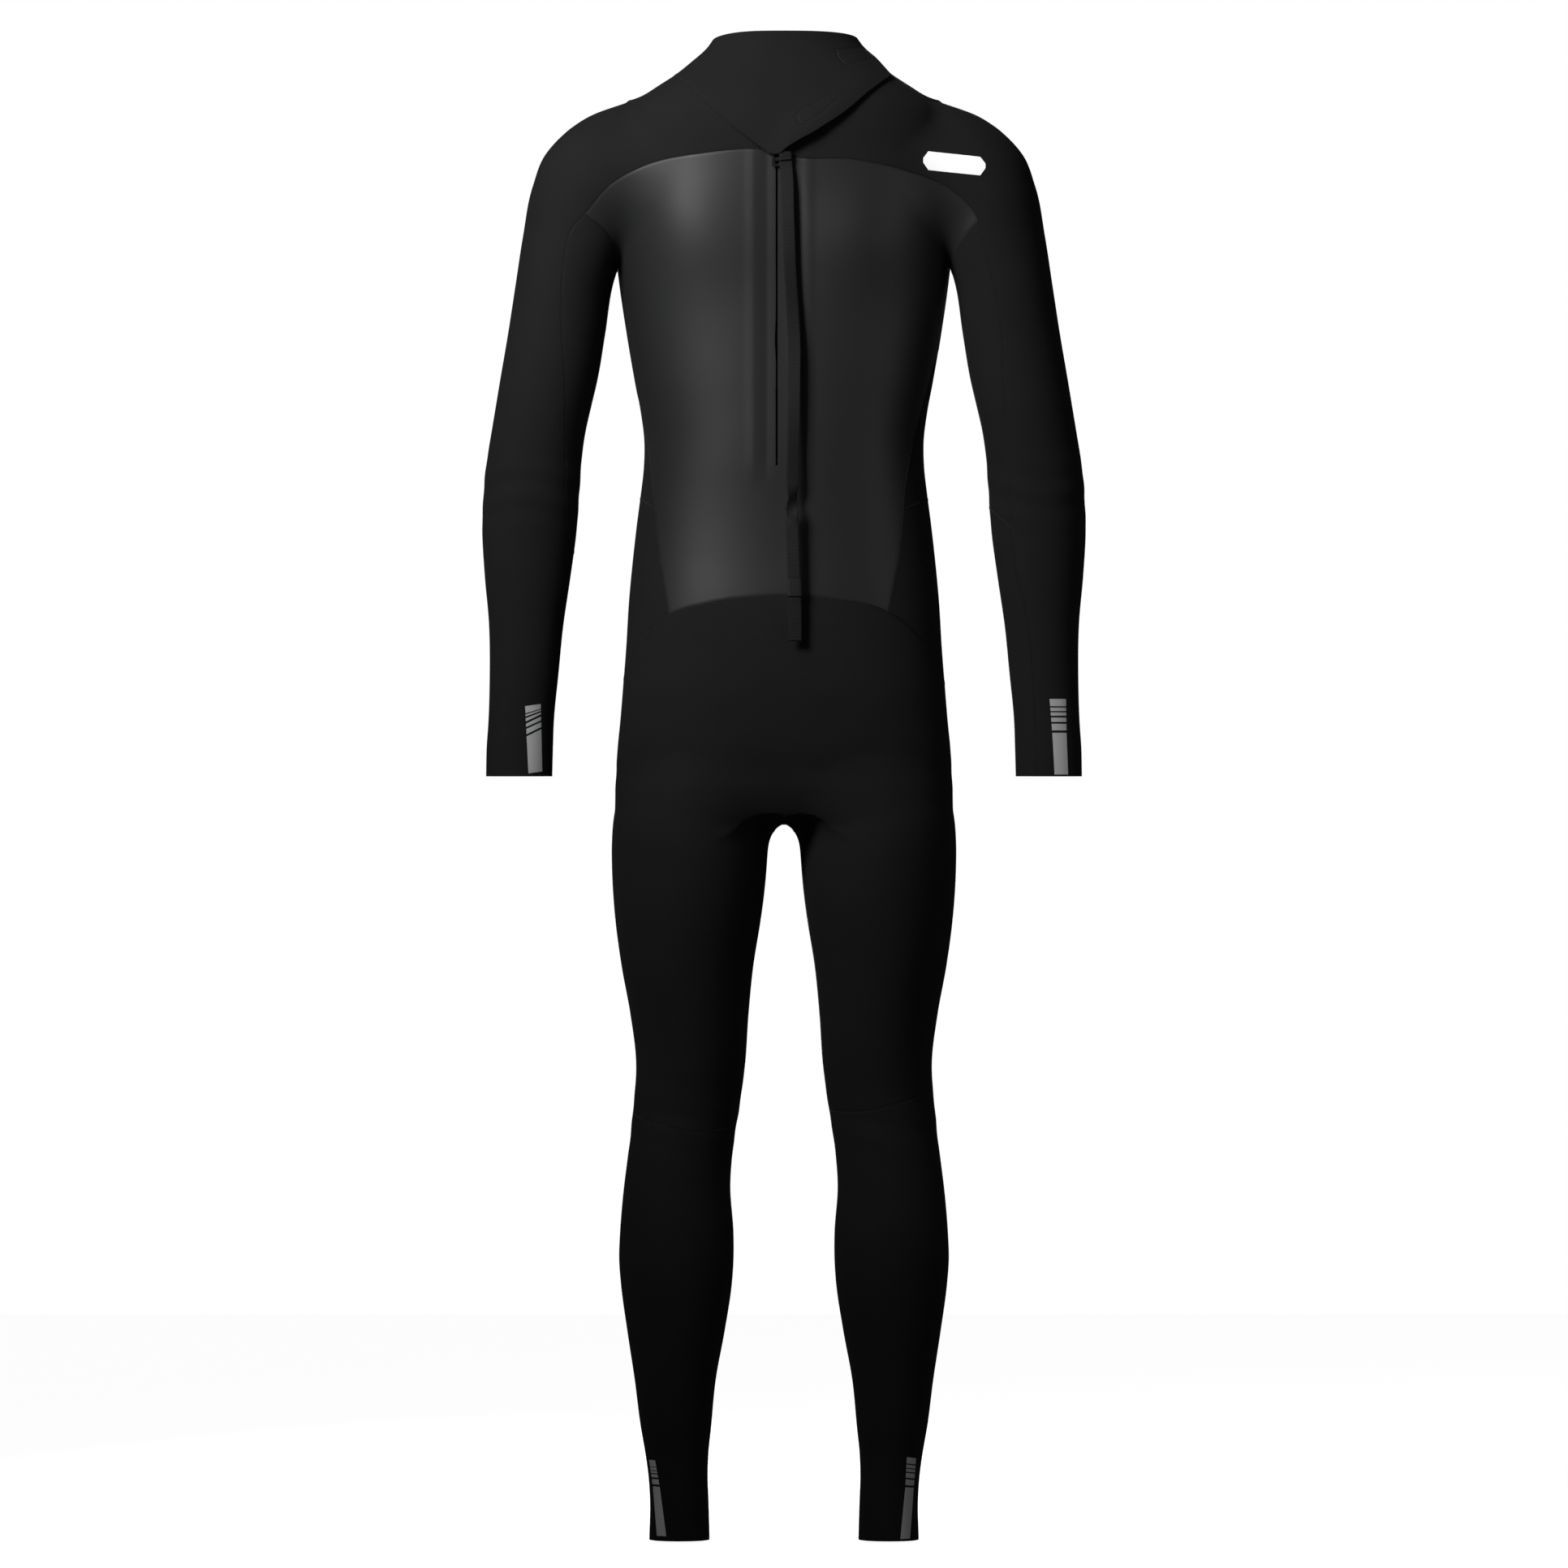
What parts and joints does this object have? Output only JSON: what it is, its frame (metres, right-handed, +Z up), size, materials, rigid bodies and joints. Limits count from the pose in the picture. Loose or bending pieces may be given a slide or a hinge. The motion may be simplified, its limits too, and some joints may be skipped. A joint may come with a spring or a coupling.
{
  "type": "full wetsuit",
  "caption": "Full-length back-zip wetsuit in stitched neoprene panels, with a wrap-over neck closure, a zip slider on a long pull lanyard, and sleeves and legs that bend.",
  "frame": {"origin": "on the floor plane of the ankle hems, under the middle of the suit", "axes": "+Z up from the ankle hems to the collar, -Y out of the back with the zip, +X towards the wearer's right"},
  "size_m": [0.5828, 0.2406, 1.4568],
  "materials": {
    "jersey": "matt fine knit laminated to foam",
    "smooth_skin": "satin smooth-skin neoprene",
    "webbing": "woven, matt",
    "zip_plastic": "moulded, satin",
    "zip_metal": "black coated cast metal",
    "hook_and_loop": "hook and loop pile",
    "grey_print": "heat-pressed reflective film",
    "white_print": "heat-pressed film"
  },
  "bodies": {
    "suit": {"back_panel": "smooth_skin", "chest_panel": "smooth_skin", "front_panel": "jersey", "left_upper_side_panel": "jersey", "right_upper_side_panel": "jersey", "left_lower_side_panel": "jersey", "right_lower_side_panel": "jersey", "seat_panel": "jersey", "left_yoke_sleeve": "jersey", "right_yoke_sleeve": "jersey", "left_underarm_panel": "jersey", "right_underarm_panel": "jersey", "left_elbow_outer": "jersey", "right_elbow_outer": "jersey", "left_elbow_inner": "jersey", "right_elbow_inner_upper": "jersey", "right_elbow_inner_lower": "jersey", "left_thigh_front": "jersey", "left_knee_back_upper": "jersey", "left_knee_back_lower": "jersey", "left_knee_pad": "jersey", "right_thigh_front": "jersey", "right_knee_back_upper": "jersey", "right_knee_back_lower": "jersey", "right_knee_pad": "jersey", "collar": "jersey", "neck_panel": "jersey", "flap_fold": "jersey", "loop_patch": "hook_and_loop", "left_zip_tape": "webbing", "right_zip_tape": "webbing", "left_zip_teeth": "zip_plastic", "right_zip_teeth": "zip_plastic", "left_zip_top_stop": "zip_plastic", "right_zip_top_stop": "zip_plastic", "zip_bottom_stop": "zip_plastic", "zip_backing": "jersey", "shoulder_mark": "white_print"},
    "zip_slider": {"zip_slider": "zip_metal", "lanyard": "webbing", "lanyard_keeper": "hook_and_loop", "lanyard_end_tab": "webbing"},
    "pull_tab": {"pull_tab": "zip_metal"},
    "neck_flap": {"neck_closure_flap": "jersey", "hook_patch_upper": "hook_and_loop", "hook_patch_lower": "hook_and_loop"},
    "left_forearm": {"left_forearm": "jersey", "left_wrist_print": "grey_print"},
    "right_forearm": {"right_forearm_outer": "jersey", "right_forearm_inner": "jersey", "right_wrist_print": "grey_print"},
    "left_shin": {"left_calf_panel": "jersey", "left_shin_panel": "jersey", "left_ankle_print": "grey_print"},
    "right_shin": {"right_calf_panel": "jersey", "right_shin_panel": "jersey", "right_ankle_print": "grey_print"}
  },
  "joints": [
    {"name": "zip_slide", "type": "slide", "parent": "suit", "child": "zip_slider", "axis": [0, -0.0261, -0.9997], "range_m": [0, 0.295], "deforming": ["left_zip_teeth", "right_zip_teeth"]},
    {"name": "pull_tab_hinge", "type": "hinge", "parent": "zip_slider", "child": "pull_tab", "pos_m": [-0.007, -0.09524, 1.3427], "axis": [-1, 0, 0], "range_deg": [0, 80], "deforming": ["lanyard"]},
    {"name": "collar_flap", "type": "hinge", "parent": "suit", "child": "neck_flap", "pos_m": [-0.014, -0.081, 1.4015], "axis": [0, -0.3465, -0.938], "range_deg": [0, 110], "deforming": ["flap_fold"]},
    {"name": "left_elbow", "type": "hinge", "parent": "suit", "child": "left_forearm", "pos_m": [-0.243, -0.005, 1.015], "axis": [1, 0, 0], "range_deg": [0, 90], "stiffness_Nm_per_rad": 0.15, "deforming": ["left_elbow_outer", "left_elbow_inner"]},
    {"name": "right_elbow", "type": "hinge", "parent": "suit", "child": "right_forearm", "pos_m": [0.243, -0.005, 1.015], "axis": [1, 0, 0], "range_deg": [0, 90], "stiffness_Nm_per_rad": 0.15, "deforming": ["right_elbow_outer", "right_elbow_inner_upper", "right_elbow_inner_lower"]},
    {"name": "left_knee", "type": "hinge", "parent": "suit", "child": "left_shin", "pos_m": [-0.095, -0.002, 0.405], "axis": [-1, 0, 0], "range_deg": [0, 90], "stiffness_Nm_per_rad": 0.2, "deforming": ["left_knee_back_upper", "left_knee_back_lower", "left_knee_pad"]},
    {"name": "right_knee", "type": "hinge", "parent": "suit", "child": "right_shin", "pos_m": [0.095, -0.002, 0.405], "axis": [-1, 0, 0], "range_deg": [0, 90], "stiffness_Nm_per_rad": 0.2, "deforming": ["right_knee_back_upper", "right_knee_back_lower", "right_knee_pad"]}
  ]
}
